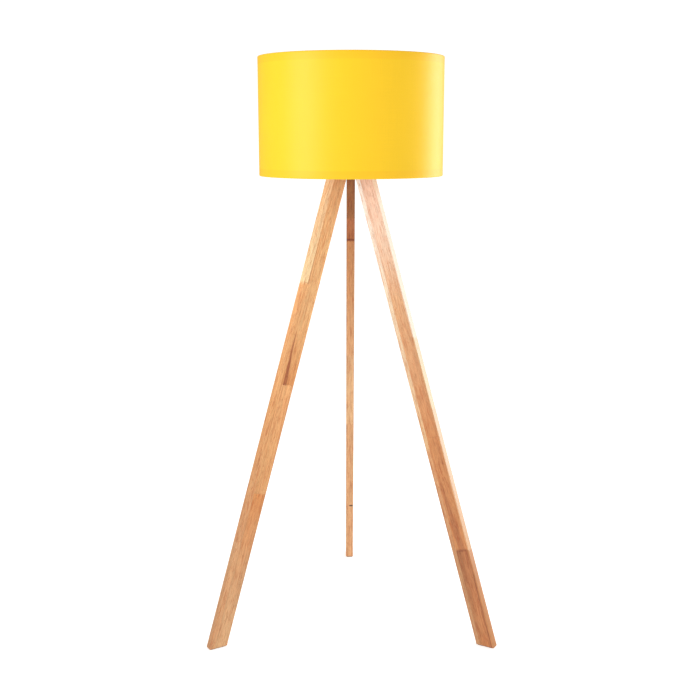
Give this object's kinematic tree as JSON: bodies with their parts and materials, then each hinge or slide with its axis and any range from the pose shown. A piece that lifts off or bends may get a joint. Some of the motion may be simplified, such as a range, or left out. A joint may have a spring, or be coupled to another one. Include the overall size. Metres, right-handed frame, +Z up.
{
  "type": "tripod floor lamp",
  "caption": "Floor lamp with splayed wooden board legs that fold at a steel hub, and a bright yellow fabric drum shade around a screw-cap bulb.",
  "frame": {"origin": "on the floor, under the lamp's vertical axis, midway between the three feet", "axes": "+Z up, +Y towards the back leg, +X to the right as seen from the front; the other legs stand at 210 and 330 degrees"},
  "size_m": [0.7254, 0.6384, 1.437],
  "materials": {
    "leg_wood": "edge-glued, finger-jointed hardwood, satin lacquer",
    "foot_felt": "dense needled felt",
    "black_steel": "satin black powder coat",
    "zinc_steel": "zinc plated",
    "nylon": "natural nylon",
    "black_plastic": "moulded, fine satin",
    "dark_insulator": "vitreous dark purple-black",
    "steatite": "unglazed pressed steatite",
    "brass": "stamped and turned",
    "solder_tip": "tinned",
    "nickel_cap": "nickel-bright, rolled",
    "bulb_plastic": "white moulded",
    "opal_globe": "opal, soft satin",
    "circuit_board": "green solder mask",
    "led_board": "white solder mask",
    "led_phosphor": "phosphor gel",
    "shade_fabric": "plain woven, bright yellow",
    "shade_liner": "white laminating sheet",
    "white_wire": "white epoxy coat"
  },
  "bodies": {
    "hub": {"hub_plate": "black_steel", "bracket_left": "black_steel", "bracket_right": "black_steel", "bracket_back": "black_steel", "bracket_rivets": "zinc_steel", "pivot_bolts": "zinc_steel", "pivot_nuts": "zinc_steel", "pivot_washers": "zinc_steel", "friction_washers": "nylon", "threaded_tube": "zinc_steel", "lock_nut": "zinc_steel", "lock_washer": "zinc_steel", "tooth_washer": "zinc_steel", "cable_bushing": "black_plastic", "holder_base": "black_plastic", "holder_core": "steatite", "holder_shell": "black_plastic", "terminal_screws": "brass", "screw_shell": "brass", "centre_contact": "brass", "shade_ring": "black_plastic"},
    "leg_left": {"leg_left": "leg_wood", "foot_pad_left": "foot_felt", "pivot_sleeve_left": "nylon"},
    "leg_right": {"leg_right": "leg_wood", "foot_pad_right": "foot_felt", "pivot_sleeve_right": "nylon"},
    "leg_back": {"leg_back": "leg_wood", "foot_pad_back": "foot_felt", "pivot_sleeve_back": "nylon"},
    "shade": {"shade_fabric": "shade_fabric", "shade_liner": "shade_liner", "rim_wire_top": "white_wire", "rim_wire_bottom": "white_wire", "spider_arms": "white_wire", "spider_washer": "white_wire"},
    "switch": {"switch_rotor": "brass", "switch_knob": "black_plastic"},
    "bulb_tip": {"bulb_contact": "solder_tip"},
    "bulb": {"bulb_insulator": "dark_insulator", "bulb_cap": "nickel_cap", "bulb_housing": "bulb_plastic", "bulb_driver": "circuit_board", "bulb_board": "led_board", "bulb_leds": "led_phosphor", "bulb_globe": "opal_globe"}
  },
  "joints": [
    {"name": "leg_left_fold", "type": "hinge", "parent": "hub", "child": "leg_left", "pos_m": [-0.02769, -0.01599, 1.18], "axis": [0.5, -0.866, 0], "range_deg": [0, 16.9]},
    {"name": "leg_right_fold", "type": "hinge", "parent": "hub", "child": "leg_right", "pos_m": [0.02769, -0.01599, 1.18], "axis": [0.5, 0.866, 0], "range_deg": [0, 16.9]},
    {"name": "leg_back_fold", "type": "hinge", "parent": "hub", "child": "leg_back", "pos_m": [0, 0.03197, 1.18], "axis": [-1, 0, 0], "range_deg": [0, 16.9]},
    {"name": "shade_turn", "type": "hinge", "parent": "hub", "child": "shade", "pos_m": [0, 0, 1.2624], "axis": [0, 0, 1], "continuous": true},
    {"name": "switch_turn", "type": "hinge", "parent": "hub", "child": "switch", "pos_m": [0.0245, 0, 1.228], "axis": [1, 0, 0], "continuous": true},
    {"name": "bulb_rise", "type": "slide", "parent": "hub", "child": "bulb_tip", "axis": [0, 0, 1], "range_m": [0, 0.0218]},
    {"name": "bulb_turn", "type": "hinge", "parent": "bulb_tip", "child": "bulb", "pos_m": [0, 0, 1.276], "axis": [0, 0, 1], "range_deg": [0, 2160]}
  ],
  "couplings": [
    {"joint": "bulb_rise", "follows": "bulb_turn", "m_per_rad": 0.0005775}
  ]
}
